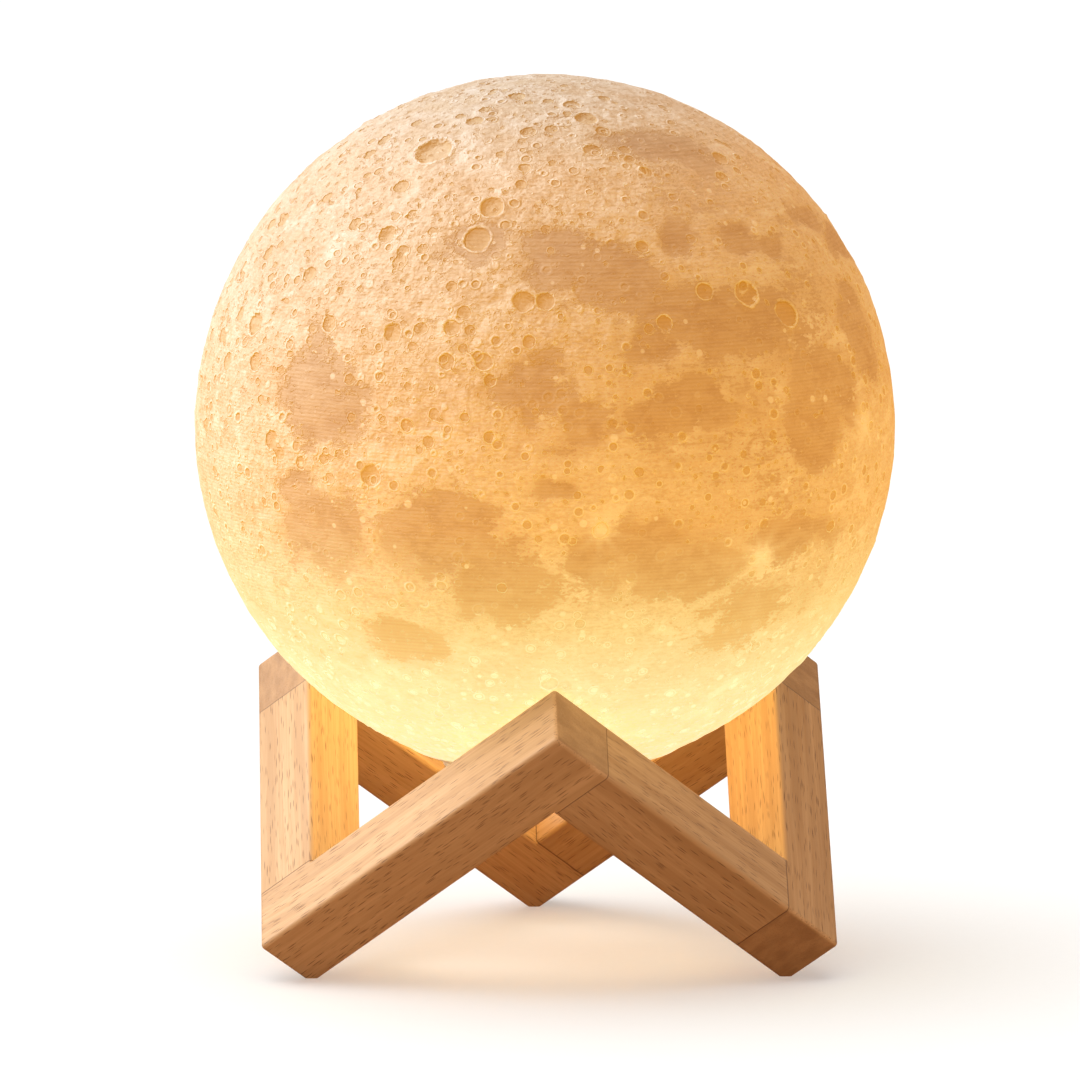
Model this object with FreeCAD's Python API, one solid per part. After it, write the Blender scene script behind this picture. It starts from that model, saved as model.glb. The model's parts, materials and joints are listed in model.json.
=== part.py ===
import FreeCAD, Part
import math
import os

# A moon lamp: a hollow printed globe that rests on a wooden stand, with a light module
# locked into its underside. Millimetres, +Z up, -Y is the front. The origin is on the
# surface that the lamp stands on, under the middle of the globe.

Vector = FreeCAD.Vector
UP = Vector(0, 0, 1)

# ---------------------------------------------------------------- stand
bar_length = 86.5            # a bar that runs through at both of its ends
bar_side = 15.5              # square section
bar_edge_radius = 1.0        # all outer edges of the glued stand
foot_flat_depth = 0.8        # sanded off each rounded foot corner, so that it rests flat
dowel_diameter = 4.0
dowel_spacing = 7.0          # between the two dowels of one corner
dowel_in_side = 8.0          # depth in the side grain of the bar that runs through
dowel_in_end = 11.0          # depth in the end grain of the bar that butts
dowel_end_space = 0.5        # room for glue past each end of a dowel

# ---------------------------------------------------------------- globe
globe_radius = 75.0
shade_wall = 2.6
globe_seat_gap = 0.3         # between the globe and the three peaks

# ---------------------------------------------------------------- collar and bayonet
moving_gap = 0.3             # between pieces that move past each other
collar_wall = 3.0            # of the sleeve in the shade's hole
collar_lip_width = 2.5       # the lip reaches this far past the sleeve
collar_lip_edge = 1.2        # thickness of the lip at its rim
collar_flange_height = 2.0   # the inward flange that the lugs lock behind
collar_headroom = 1.0        # of the sleeve above the lugs
lug_count = 3
lug_reach = 1.7              # how far a lug stands out of the housing
lug_height = 1.7
lug_sweep = 24.0             # degrees
lug_start = 30.0             # middle of the first locked lug, degrees from +X
unlock_turn = 40.0           # degrees from locked to the notches
notch_side_gap = 2.0         # degrees, on each side of a lug in its notch

# ---------------------------------------------------------------- light module
cap_inset = 1.6              # face of the cap above the globe's lowest point
cap_thickness = 3.0
cap_edge_radius = 0.9
housing_wall = 1.6
housing_top = 1.8
housing_rim_height = 3.1     # the thick rim under the collar's flange
boss_radius = 2.6
boss_height = 8.0            # of the three bosses that the cap is screwed to
boss_wall_gap = 2.2          # from a cap boss's axis to the housing's inner wall
boss_start = 90.0            # first cap boss, degrees from +X
boss_count = 3

ring_groove_depth = 0.8
ring_thickness = 1.2
ring_width = 5.0
ring_rim = 3.5               # of the cap outside the ring
ring_edge_radius = 0.4

screw_radius = 1.0           # of every self-tapping screw here
screw_head_radius = 1.9
screw_head_height = 1.2
screw_recess = 0.6           # depth of the cross in a head
screw_recess_width = 0.5
cap_screw_length = 7.0
board_screw_length = 5.0
head_pocket_gap = 0.2        # round and behind a sunk screw head

control_board_thickness = 1.2
control_board_gap = 0.3      # round the board and its notches
control_boss_radius = 2.2
control_boss_angles = (30.0, 150.0)
component_space = 4.8        # between the control board and the cell

cell_length = 30.0
cell_width = 20.0
cell_thickness = 5.0
cell_edge_radius = 1.2
cell_room = 0.37             # between the cell's corners and the housing
pad_length = 24.0
pad_width = 14.0
pad_thickness = 1.0
protection_thickness = 1.2
protection_width = 11.0
protection_height = 4.0

led_board_thickness = 1.4
led_board_rim = 2.2          # the board ends this far inside the housing's inner wall
led_count = 8
led_circle_radius = 8.5
led_width = 2.8
led_length = 3.5
led_height = 0.8
led_boss_radius = 1.9
led_boss_height = 4.2
led_screw_circle = 12.6
led_screw_length = 4.8

diffuser_wall = 1.2
diffuser_gap = 0.6           # round the LED board
diffuser_side = 3.4          # straight part
diffuser_rise = 5.0          # of its domed top

# ---------------------------------------------------------------- button and socket
button_y = -5.5
button_radius = 4.0
button_stand_out = 0.6       # of the button below the cap's face
button_travel = 1.0
button_flange_reach = 0.8
button_flange_thickness = 0.8
button_edge_radius = 0.5
switch_side = 6.0
switch_height = 3.5
plunger_radius = 1.7
plunger_gap = 0.1
plunger_hidden = 1.0         # length of the plunger inside the switch at rest

socket_y = 6.0
socket_width = 8.94
socket_height = 3.16
socket_wall = 0.3
socket_inset = 0.4           # mouth of the socket behind the cap's face
socket_slot_gap = 0.27       # between the socket's shell and the slot in the cap
socket_block = 1.4           # insulating block at the board end
tongue_width = 6.6
tongue_thickness = 0.7
tongue_setback = 0.8         # tip of the tongue behind the socket's mouth

# ---------------------------------------------------------------- leads
lead_diameter = 1.1
lead_bend_radius = 1.6       # to the middle of the wire
battery_lead_spacing = 3.0
led_lead_angle = 62.0        # where the LED leads rise, degrees from +X
led_lead_inset = 3.4         # from the housing's inner wall to the middle of the bundle
led_lead_spread = 0.75       # each lead from the middle of the bundle
led_lead_hole_radius = 1.8
led_lead_rise = 1.7          # middle of the wire above the LED board's face
led_lead_reach = 4.6         # how far inwards a lead runs on the LED board
touch_lead_angle = 0.0       # degrees from +X
touch_lead_hole_gap = 0.2

# ---------------------------------------------------------------- craters of the shade
# degrees right of the front, degrees up, radius and depth in millimetres
front_craters = (
    (-36, 56, 3.8, 0.9),
    (-14, 44, 2.4, 0.6),
    (-29, 21, 2.1, 0.6),
    (-36, 38, 1.9, 0.5),
    (-30, 32, 1.8, 0.5),
    (-31, -2, 2.1, 0.6),
    (-62, 20, 3.0, 0.7),
    (-69, 12, 2.2, 0.5),
    (-6, 28, 2.4, 0.6),
    (19, 23, 1.8, 0.5),
    (28, 28, 2.1, 0.6),
    (37, 28, 2.6, 0.7),
    (46, 22, 3.0, 0.8),
    (14, 67, 2.0, 0.5),
)
back_craters = (
    (110, 40, 4.2, 0.9),
    (128, 8, 3.2, 0.8),
    (152, 52, 2.6, 0.6),
    (168, 20, 4.8, 1.0),
    (-170, -24, 3.4, 0.8),
    (-148, 36, 2.8, 0.7),
    (-126, 4, 4.0, 0.9),
    (-108, 58, 2.4, 0.6),
    (98, -30, 2.8, 0.7),
    (-100, -34, 3.2, 0.7),
    (142, -46, 3.6, 0.8),
    (-146, -52, 2.6, 0.6),
)

# ---------------------------------------------------------------- places worked out
# The stand follows the edges of a cube that stands on one corner. Its three edge
# directions rise by the same angle, at 210, 330 and 90 degrees from +X.
edge_rise = 1 / math.sqrt(3)
edge_run = math.sqrt(2.0 / 3.0)
edge_angles = (210.0, 330.0, 90.0)

inner_end = bar_length - bar_side
foot_cut = (math.sqrt(3) - 1) * bar_edge_radius + foot_flat_depth
cube_corner_z = -inner_end * edge_rise - foot_cut


def seat_coordinate():
    """Cube coordinate of the globe's centre, which is the same along all three edges.

    The globe rests on the rounded corner of each peak, or on the peak's flat where the
    bars are long enough to reach under it.
    """
    reach = globe_radius + globe_seat_gap
    on_flat = bar_side + reach
    round_far = bar_length - bar_edge_radius
    round_near = bar_side - bar_edge_radius
    if on_flat <= round_far:
        return on_flat
    distance = reach + bar_edge_radius
    linear = 4 * round_far + 2 * round_near
    constant = 2 * round_far ** 2 + round_near ** 2 - distance ** 2
    return (linear + math.sqrt(linear ** 2 - 12 * constant)) / 6


globe_z = seat_coordinate() * math.sqrt(3) + cube_corner_z
pole_z = globe_z - globe_radius
shade_inner_radius = globe_radius - shade_wall

housing_inner_radius = math.hypot(cell_length / 2, cell_width / 2) + cell_room
housing_radius = housing_inner_radius + housing_wall
flange_bore = housing_radius + moving_gap
rim_radius = housing_radius + lug_reach
collar_bore = rim_radius + moving_gap
collar_radius = collar_bore + collar_wall
lip_radius = collar_radius + collar_lip_width

cap_face_z = pole_z + cap_inset
cap_inner_z = cap_face_z + cap_thickness
rim_top_z = cap_inner_z + housing_rim_height
flange_low_z = rim_top_z + moving_gap
flange_high_z = flange_low_z + collar_flange_height
lug_low_z = flange_high_z + moving_gap
lug_high_z = lug_low_z + lug_height
collar_top_z = lug_high_z + collar_headroom

button_flange_z = cap_inner_z + moving_gap
button_top_z = button_flange_z + button_flange_thickness
switch_low_z = button_top_z + button_travel + moving_gap
board_low_z = switch_low_z + switch_height
board_high_z = board_low_z + control_board_thickness
cell_low_z = board_high_z + component_space
cell_high_z = cell_low_z + cell_thickness
housing_top_low_z = cell_high_z + pad_thickness
housing_top_z = housing_top_low_z + housing_top
led_board_high_z = housing_top_z + led_board_thickness
led_board_radius = housing_inner_radius - led_board_rim
diffuser_inner_radius = led_board_radius + diffuser_gap
diffuser_radius = diffuser_inner_radius + diffuser_wall

cap_boss_circle = housing_inner_radius - boss_wall_gap
control_boss_circle = housing_inner_radius - moving_gap - screw_head_radius
ring_outer_radius = rim_radius - ring_rim
ring_inner_radius = ring_outer_radius - ring_width
ring_floor_z = cap_face_z + ring_groove_depth
led_lead_circle = housing_inner_radius - led_lead_inset


def surface_height(radius, sphere_radius):
    """Height above the globe's lowest point of a sphere about the globe's centre."""
    return globe_radius - math.sqrt(sphere_radius ** 2 - radius ** 2)


lip_seat_z = pole_z + surface_height(lip_radius, globe_radius) + collar_lip_edge


# ---------------------------------------------------------------- plain shapes
def polar(radius, degrees, z=0.0):
    angle = math.radians(degrees)
    return Vector(radius * math.cos(angle), radius * math.sin(angle), z)


def cylinder(radius, low, high, x=0.0, y=0.0):
    return Part.makeCylinder(radius, high - low, Vector(x, y, low))


def ring(inner, outer, low, high):
    return cylinder(outer, low, high).cut(cylinder(inner, low, high))


def ring_sector(inner, outer, low, high, middle, sweep):
    """The part of a ring between two angles, in degrees from +X."""
    start = polar(1, middle - sweep / 2)
    sector = Part.makeCylinder(outer, high - low, Vector(0, 0, low), UP, sweep)
    sector = sector.cut(cylinder(inner, low, high))
    return sector.rotate(Vector(0, 0, 0), UP, math.degrees(math.atan2(start.y, start.x)))


def block(x_low, x_high, y_low, y_high, z_low, z_high):
    corner = Vector(x_low, y_low, z_low)
    return Part.makeBox(x_high - x_low, y_high - y_low, z_high - z_low, corner)


def block_about(x, y, width, depth, low, high):
    return block(x - width / 2, x + width / 2, y - depth / 2, y + depth / 2, low, high)


def stadium(width, height, low, high, y):
    """An upright slot shape with round ends, long in X."""
    half = (width - height) / 2
    middle = block_about(0, y, 2 * half, height, low, high)
    left = cylinder(height / 2, low, high, -half, y)
    right = cylinder(height / 2, low, high, half, y)
    return middle.fuse([left, right]).removeSplitter()


def globe_ball(radius):
    return Part.makeSphere(radius, Vector(0, 0, globe_z))


def edges_on_level(shape, z):
    """The edges that lie whole in one horizontal plane."""
    tolerance = 1e-6
    found = []
    for edge in shape.Edges:
        box = edge.BoundBox
        if abs(box.ZMin - z) < tolerance and abs(box.ZMax - z) < tolerance:
            found.append(edge)
    return found


# ---------------------------------------------------------------- stand
# Each bar is the span of its cube coordinates. A bar that runs through a corner reaches
# the cube's outside there, and a bar that butts stops at the side of the other one.
near = (0.0, bar_side)
far = (inner_end, bar_length)
bars = {
    "bar_front_left": (far, (0.0, bar_length), near),
    "bar_front_right": ((bar_side, inner_end), far, near),
    "bar_right": (near, far, (0.0, inner_end)),
    "bar_back_right": (near, (bar_side, bar_length), far),
    "bar_back_left": ((0.0, bar_length), near, far),
    "bar_left": (far, near, (bar_side, inner_end)),
}
# The end of each bar that butts: its name, the cube axis it runs along, and which end.
cube_axes = "xyz"
butt_ends = (
    ("bar_front_right", "x", "low"),
    ("bar_front_right", "x", "high"),
    ("bar_right", "z", "high"),
    ("bar_back_right", "y", "low"),
    ("bar_left", "z", "low"),
    ("bar_left", "z", "high"),
)


def stand_placement():
    """Turns cube coordinates into the lamp's own frame."""
    columns = []
    for angle in edge_angles:
        columns.append(polar(edge_run, angle, edge_rise))
    matrix = FreeCAD.Matrix(
        columns[0].x, columns[1].x, columns[2].x, 0,
        columns[0].y, columns[1].y, columns[2].y, 0,
        columns[0].z, columns[1].z, columns[2].z, cube_corner_z,
        0, 0, 0, 1)
    return FreeCAD.Placement(matrix)


def bar_block(spans):
    (x_low, x_high), (y_low, y_high), (z_low, z_high) = spans
    return block(x_low, x_high, y_low, y_high, z_low, z_high)


def is_outward(shape, edge):
    """True where the solid fills less than half of a small ball on the edge's middle."""
    middle = edge.valueAt((edge.FirstParameter + edge.LastParameter) / 2)
    probe = Part.makeSphere(bar_edge_radius / 2, middle)
    return shape.common(probe).Volume < probe.Volume / 2


def rounded_stand():
    """The six bars as one solid with its outward edges rounded and its feet sanded flat."""
    blocks = [bar_block(spans) for spans in bars.values()]
    whole = blocks[0].fuse(blocks[1:]).removeSplitter()
    outward = [edge for edge in whole.Edges if is_outward(whole, edge)]
    whole = whole.makeFillet(bar_edge_radius, outward)
    whole.Placement = stand_placement()
    reach = 2 * bar_length
    below_floor = block(-reach, reach, -reach, reach, -reach, 0)
    return whole.cut(below_floor)


def dowel_places():
    """Middle of each dowel's joint face and its direction, in cube coordinates."""
    places = []
    for name, axis_name, end in butt_ends:
        axis = cube_axes.index(axis_name)
        spans = bars[name]
        centre = [(low + high) / 2 for low, high in spans]
        direction = [0, 0, 0]
        if end == "low":
            centre[axis] = spans[axis][0]
            direction[axis] = 1
        else:
            centre[axis] = spans[axis][1]
            direction[axis] = -1
        # The pair lies along the bar that runs through, which is the longest one there.
        through = through_axis(centre, axis)
        for side in (-1, 1):
            place = list(centre)
            place[through] += side * dowel_spacing / 2
            places.append((Vector(*place), Vector(*direction)))
    return places


def through_axis(point, butt_axis):
    """The length's axis of the bar that a butt end is glued to."""
    for spans in bars.values():
        lengths = [high - low for low, high in spans]
        longest = lengths.index(max(lengths))
        inside = [low <= value <= high for value, (low, high) in zip(point, spans)]
        if longest != butt_axis and all(inside):
            return longest
    raise ValueError("no bar runs through at this joint")


def dowel(place, direction, extra=0.0):
    """A dowel across a joint face, longer at both ends by the extra length."""
    start = place - direction * (dowel_in_side + extra)
    length = dowel_in_side + dowel_in_end + 2 * extra
    shape = Part.makeCylinder(dowel_diameter / 2, length, start, direction)
    shape.Placement = stand_placement().multiply(shape.Placement)
    return shape


def make_stand():
    pieces = {}
    whole = rounded_stand()
    holes = [dowel(place, direction, dowel_end_space) for place, direction in dowel_places()]
    for name, spans in bars.items():
        span_block = bar_block(spans)
        span_block.Placement = stand_placement()
        pieces[name] = whole.common(span_block).cut(holes)
    dowels = [dowel(place, direction) for place, direction in dowel_places()]
    pieces["corner_dowels"] = Part.makeCompound(dowels)
    return pieces


# ---------------------------------------------------------------- globe
def crater_cutter(right, up, radius, depth):
    """A ball that cuts a dish of the given radius and depth out of the globe."""
    sagitta = globe_radius - math.sqrt(globe_radius ** 2 - radius ** 2)
    deep = depth + sagitta
    ball_radius = (radius ** 2 + deep ** 2) / (2 * deep)
    distance = globe_radius - depth + ball_radius
    sideways = polar(1, right)
    outward = polar(math.cos(math.radians(up)), right - 90, math.sin(math.radians(up)))
    # The ball's poles and seam are turned away from the dish.
    turn = FreeCAD.Rotation(outward, Vector(0, 0, 0), sideways, "XZY")
    ball = Part.makeSphere(ball_radius)
    ball.Placement = FreeCAD.Placement(outward * distance + Vector(0, 0, globe_z), turn)
    return ball


def make_shade():
    """The hollow printed shell, with the stepped hole that the collar is glued into."""
    shell = globe_ball(globe_radius).cut(globe_ball(shade_inner_radius))
    hole = cylinder(collar_radius, pole_z - shade_wall, globe_z)
    step = cylinder(lip_radius, pole_z - shade_wall, lip_seat_z)
    craters = [crater_cutter(*crater) for crater in front_craters + back_craters]
    return shell.cut([hole, step]).cut(craters)


def make_collar():
    """Lip, sleeve, notched flange and the ribs that stop the lugs at both ends."""
    lip = cylinder(lip_radius, pole_z, lip_seat_z).common(globe_ball(globe_radius))
    sleeve = cylinder(collar_radius, lip_seat_z, collar_top_z)
    collar = lip.fuse(sleeve).cut(cylinder(collar_bore, pole_z, collar_top_z))
    collar = collar.fuse(ring(flange_bore, collar_bore, flange_low_z, flange_high_z))
    pitch = 360.0 / lug_count
    side = math.degrees(moving_gap / rim_radius)
    rib_sweep = pitch - unlock_turn - lug_sweep - 2 * side
    for index in range(lug_count):
        locked = lug_start + index * pitch
        rib_middle = locked + (pitch - unlock_turn) / 2
        rib = ring_sector(flange_bore, collar_bore, flange_high_z, lug_high_z,
                          rib_middle, rib_sweep)
        collar = collar.fuse(rib)
        notch = ring_sector(flange_bore - 1, collar_bore, flange_low_z, flange_high_z,
                            locked - unlock_turn, lug_sweep + 2 * notch_side_gap)
        collar = collar.cut(notch)
    return collar.removeSplitter()


# ---------------------------------------------------------------- screws
def screw(x, y, seat_z, length, head_up):
    """A self-tapping screw: its head stands on the seat and its shank goes the other way."""
    way = 1 if head_up else -1
    head_end = seat_z + way * screw_head_height
    shank_end = seat_z - way * length
    head = cylinder(screw_head_radius, min(seat_z, head_end), max(seat_z, head_end), x, y)
    shank = cylinder(screw_radius, min(seat_z, shank_end), max(seat_z, shank_end), x, y)
    low = min(head_end, head_end - way * screw_recess)
    high = max(head_end, head_end - way * screw_recess)
    arm = 1.3 * screw_head_radius
    cross = block_about(x, y, arm, screw_recess_width, low, high)
    cross = cross.fuse(block_about(x, y, screw_recess_width, arm, low, high))
    return head.fuse(shank).cut(cross)


def cap_boss_places():
    return [polar(cap_boss_circle, boss_start + index * 360.0 / boss_count)
            for index in range(boss_count)]


def control_boss_places():
    return [polar(control_boss_circle, angle) for angle in control_boss_angles]


def led_screw_places():
    return [Vector(0, led_screw_circle, 0), Vector(0, -led_screw_circle, 0)]


cap_screw_seat_z = ring_floor_z + screw_head_height + head_pocket_gap


# ---------------------------------------------------------------- light module
def led_lead_places():
    """Where the three LED leads rise: three points round the middle of the bundle."""
    middle = polar(led_lead_circle, led_lead_angle)
    return [middle + polar(led_lead_spread, led_lead_angle + turn) for turn in (0, 120, 240)]


def wall_boss(radius, place, low, high):
    """A screw boss with a web as wide as itself that joins it to the housing's wall."""
    boss = cylinder(radius, low, high, place.x, place.y)
    reach = housing_inner_radius + housing_wall / 2 - place.Length
    web = block(0, reach, -radius, radius, low, high)
    web.rotate(Vector(0, 0, 0), UP, math.degrees(math.atan2(place.y, place.x)))
    inside = cylinder(housing_inner_radius + housing_wall / 2, low, high)
    return boss.fuse(web.translate(place)).common(inside)


def make_housing():
    """A cup with its mouth down: wall, rim, lugs, bosses and the pilot holes in them."""
    cup = cylinder(housing_radius, cap_inner_z, housing_top_z)
    cup = cup.fuse(cylinder(rim_radius, cap_inner_z, rim_top_z))
    cup = cup.cut(cylinder(housing_inner_radius, cap_inner_z, housing_top_low_z))
    inner_bosses = []
    pilots = []
    for place in cap_boss_places():
        top = cap_inner_z + boss_height
        inner_bosses.append(wall_boss(boss_radius, place, cap_inner_z, top))
        pilot_top = cap_screw_seat_z + cap_screw_length
        pilots.append(cylinder(screw_radius, cap_inner_z, pilot_top, place.x, place.y))
    for place in control_boss_places():
        top = cell_low_z - moving_gap
        inner_bosses.append(wall_boss(control_boss_radius, place, board_high_z, top))
        pilot_top = board_low_z + board_screw_length
        pilots.append(cylinder(screw_radius, board_high_z, pilot_top, place.x, place.y))
    for place in led_screw_places():
        low = housing_top_low_z - led_boss_height
        inner_bosses.append(cylinder(led_boss_radius, low, housing_top_low_z, place.x, place.y))
        pilot_low = led_board_high_z - led_screw_length
        pilots.append(cylinder(screw_radius, pilot_low, housing_top_z, place.x, place.y))
    cup = cup.fuse(inner_bosses)
    pitch = 360.0 / lug_count
    for index in range(lug_count):
        lug = ring_sector(housing_radius - housing_wall / 2, rim_radius, lug_low_z, lug_high_z,
                          lug_start + index * pitch, lug_sweep)
        cup = cup.fuse(lug)
    middle = polar(led_lead_circle, led_lead_angle)
    lead_hole = cylinder(led_lead_hole_radius, housing_top_low_z, housing_top_z,
                         middle.x, middle.y)
    return cup.cut(pilots + [lead_hole]).removeSplitter()


def make_cap():
    """The bottom cover, with a groove for the ring and holes for what shows through it."""
    cap = cylinder(rim_radius, cap_face_z, cap_inner_z)
    cap = cap.makeFillet(cap_edge_radius, edges_on_level(cap, cap_face_z))
    cap = cap.cut(ring(ring_inner_radius, ring_outer_radius, cap_face_z, ring_floor_z))
    cuts = [cylinder(button_radius + moving_gap, cap_face_z, cap_inner_z, 0, button_y)]
    slot_width = socket_width + 2 * socket_slot_gap
    slot_height = socket_height + 2 * socket_slot_gap
    cuts.append(stadium(slot_width, slot_height, cap_face_z, cap_inner_z, socket_y))
    for place in cap_boss_places():
        pocket = screw_head_radius + head_pocket_gap
        cuts.append(cylinder(pocket, ring_floor_z, cap_screw_seat_z, place.x, place.y))
        cuts.append(cylinder(screw_radius, cap_screw_seat_z, cap_inner_z, place.x, place.y))
    lead = touch_lead_place()
    lead_hole = lead_diameter / 2 + touch_lead_hole_gap
    cuts.append(cylinder(lead_hole, ring_floor_z, cap_inner_z, lead.x, lead.y))
    return cap.cut(cuts)


def make_touch_ring():
    low = ring_floor_z - ring_thickness
    shape = ring(ring_inner_radius, ring_outer_radius, low, ring_floor_z)
    return shape.makeFillet(ring_edge_radius, edges_on_level(shape, low))


def make_control_board():
    """A round board with a notch for each cap boss and a hole for each of its screws."""
    board = cylinder(housing_inner_radius - control_board_gap, board_low_z, board_high_z)
    cuts = []
    for place in cap_boss_places():
        notch = boss_radius + control_board_gap
        cuts.append(cylinder(notch, board_low_z, board_high_z, place.x, place.y))
        outward = math.degrees(math.atan2(place.y, place.x))
        opening = block(0, boss_radius * 2, -notch, notch, board_low_z, board_high_z)
        opening.rotate(Vector(0, 0, 0), UP, outward)
        cuts.append(opening.translate(place))
    for place in control_boss_places():
        cuts.append(cylinder(screw_radius, board_low_z, board_high_z, place.x, place.y))
    return board.cut(cuts)


# The larger components on the upper side of the control board: x, y, width, depth, height.
component_blocks = (
    (-7.5, 2.0, 5.0, 5.0, 3.0),
    (1.5, 3.0, 5.0, 4.0, 1.5),
    (6.5, -3.0, 4.0, 4.0, 0.9),
    (-1.0, -4.5, 3.0, 3.0, 1.1),
    (-6.0, -6.5, 3.2, 1.6, 0.6),
    (-9.5, -3.0, 1.6, 3.2, 0.6),
    (3.0, -8.5, 2.0, 1.2, 0.5),
    (9.5, 2.5, 1.2, 2.0, 0.5),
    (-2.5, 8.0, 2.0, 1.2, 0.5),
)
capacitor_place = (2.5, -12.5)
capacitor_radius = 2.0
capacitor_height = 4.2


def make_components():
    solids = []
    for x, y, width, depth, height in component_blocks:
        solids.append(block_about(x, y, width, depth, board_high_z, board_high_z + height))
    x, y = capacitor_place
    solids.append(cylinder(capacitor_radius, board_high_z, board_high_z + capacitor_height, x, y))
    return Part.makeCompound(solids)


def make_cell():
    cell = block_about(0, 0, cell_length, cell_width, cell_low_z, cell_high_z)
    sides = edges_on_level(cell, cell_low_z) + edges_on_level(cell, cell_high_z)
    return cell.makeFillet(cell_edge_radius, sides)


def make_protection_board():
    middle = (cell_low_z + cell_high_z) / 2
    x_low = cell_length / 2
    half = protection_width / 2
    return block(x_low, x_low + protection_thickness, -half, half,
                 middle - protection_height / 2, middle + protection_height / 2)


def make_pad():
    return block_about(0, 0, pad_length, pad_width, cell_high_z, housing_top_low_z)


def make_led_board():
    board = cylinder(led_board_radius, housing_top_z, led_board_high_z)
    middle = polar(led_lead_circle, led_lead_angle)
    cuts = [cylinder(led_lead_hole_radius, housing_top_z, led_board_high_z, middle.x, middle.y)]
    for place in led_screw_places():
        cuts.append(cylinder(screw_radius, housing_top_z, led_board_high_z, place.x, place.y))
    return board.cut(cuts)


def make_leds():
    solids = []
    for index in range(led_count):
        angle = led_lead_angle + (index + 0.5) * 360.0 / led_count
        led = block_about(0, 0, led_length, led_width,
                          led_board_high_z, led_board_high_z + led_height)
        led.rotate(Vector(0, 0, 0), UP, angle)
        solids.append(led.translate(polar(led_circle_radius, angle)))
    return Part.makeCompound(solids)


def dome(radius, side, rise):
    """A solid of revolution: a straight side, then a spherical cap of the given rise."""
    cap_radius = (radius ** 2 + rise ** 2) / (2 * rise)
    top = housing_top_z + side + rise
    ball = Part.makeSphere(cap_radius, Vector(0, 0, top - cap_radius))
    return cylinder(radius, housing_top_z, top).common(ball)


def make_diffuser():
    outer = dome(diffuser_radius, diffuser_side, diffuser_rise)
    inner = dome(diffuser_inner_radius, diffuser_side, diffuser_rise - diffuser_wall)
    return outer.cut(inner)


# ---------------------------------------------------------------- button, switch and socket
def make_button():
    """The button's cap with a flange behind the cover that keeps it in."""
    low = cap_face_z - button_stand_out
    button = cylinder(button_radius, low, button_top_z, 0, button_y)
    button = button.makeFillet(button_edge_radius, edges_on_level(button, low))
    flange = cylinder(button_radius + button_flange_reach, button_flange_z, button_top_z,
                      0, button_y)
    return button.fuse(flange)


def make_plunger():
    high = switch_low_z + plunger_hidden
    return cylinder(plunger_radius, button_top_z, high, 0, button_y)


def make_switch():
    body = block_about(0, button_y, switch_side, switch_side, switch_low_z, board_low_z)
    bore_top = switch_low_z + plunger_hidden + button_travel + moving_gap
    return body.cut(cylinder(plunger_radius + plunger_gap, switch_low_z, bore_top, 0, button_y))


socket_mouth_z = cap_face_z + socket_inset


def make_socket():
    outer = stadium(socket_width, socket_height, socket_mouth_z, board_low_z, socket_y)
    inner = stadium(socket_width - 2 * socket_wall, socket_height - 2 * socket_wall,
                    socket_mouth_z, board_low_z, socket_y)
    return outer.cut(inner)


def make_tongue():
    block_low = board_low_z - socket_block
    base = stadium(socket_width - 2 * socket_wall, socket_height - 2 * socket_wall,
                   block_low, board_low_z, socket_y)
    tongue = block_about(0, socket_y, tongue_width, tongue_thickness,
                         socket_mouth_z + tongue_setback, block_low)
    return base.fuse(tongue).removeSplitter()


# ---------------------------------------------------------------- leads
def lead(points):
    """A round wire along straight runs, with an arc of the bend radius at each inner point."""
    edges = []
    start = points[0]
    for before, corner, after in zip(points, points[1:], points[2:]):
        into = (corner - before).normalize()
        out = (after - corner).normalize()
        half_turn = into.getAngle(out) / 2
        setback = lead_bend_radius * math.tan(half_turn)
        arc_start = corner - into * setback
        arc_end = corner + out * setback
        inward = (out - into).normalize()
        arc_middle = corner + inward * (lead_bend_radius / math.cos(half_turn) - lead_bend_radius)
        edges.append(Part.LineSegment(start, arc_start).toShape())
        edges.append(Part.Arc(arc_start, arc_middle, arc_end).toShape())
        start = arc_end
    edges.append(Part.LineSegment(start, points[-1]).toShape())
    path = Part.Wire(edges)
    direction = (points[1] - points[0]).normalize()
    section = Part.Wire(Part.makeCircle(lead_diameter / 2, points[0], direction))
    return path.makePipeShell([section], True, False)


def make_battery_leads():
    """From the control board straight up beside the protection board's outer face."""
    solids = []
    x = cell_length / 2 + protection_thickness / 2
    low = (cell_low_z + cell_high_z) / 2 - protection_height / 2
    for side in (-1, 1):
        y = side * battery_lead_spacing / 2
        solids.append(cylinder(lead_diameter / 2, board_high_z, low, x, y))
    return Part.makeCompound(solids)


def make_led_leads():
    """Up through the housing's top, then inwards and down onto the LED board."""
    solids = []
    inward = polar(-1, led_lead_angle)
    for place in led_lead_places():
        bottom = Vector(place.x, place.y, board_high_z)
        level = led_board_high_z + led_lead_rise
        over_hole = Vector(place.x, place.y, level)
        over_pad = over_hole + inward * led_lead_reach
        pad = Vector(over_pad.x, over_pad.y, led_board_high_z)
        solids.append(lead([bottom, over_hole, over_pad, pad]))
    return Part.makeCompound(solids)


def touch_lead_place():
    return polar((ring_inner_radius + ring_outer_radius) / 2, touch_lead_angle)


def make_touch_lead():
    place = touch_lead_place()
    return cylinder(lead_diameter / 2, ring_floor_z, board_low_z, place.x, place.y)


# ---------------------------------------------------------------- the lamp
def make_screws(places, seat_z, length, head_up):
    return Part.makeCompound([screw(place.x, place.y, seat_z, length, head_up)
                              for place in places])


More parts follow.
